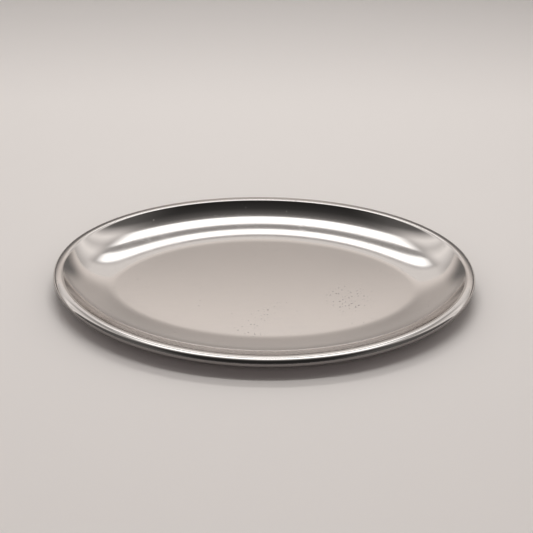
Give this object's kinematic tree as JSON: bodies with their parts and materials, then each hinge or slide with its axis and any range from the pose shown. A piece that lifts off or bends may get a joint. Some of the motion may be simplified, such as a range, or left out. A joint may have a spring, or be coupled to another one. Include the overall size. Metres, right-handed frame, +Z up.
{
  "type": "serving tray",
  "caption": "Shallow oval serving tray of satin steel, with a flat floor, a dished wall and an edge rolled outwards round a stiffening wire.",
  "frame": {"origin": "middle of the underside of the floor, on the surface the tray stands on", "axes": "+X along the tray's length, +Y across it, +Z up out of the dish"},
  "size_m": [0.26, 0.17, 0.0148],
  "materials": {
    "tray_steel": "satin",
    "wire_steel": "drawn"
  },
  "bodies": {
    "root": {"tray_shell": "tray_steel", "rim_wire": "wire_steel"}
  },
  "joints": []
}
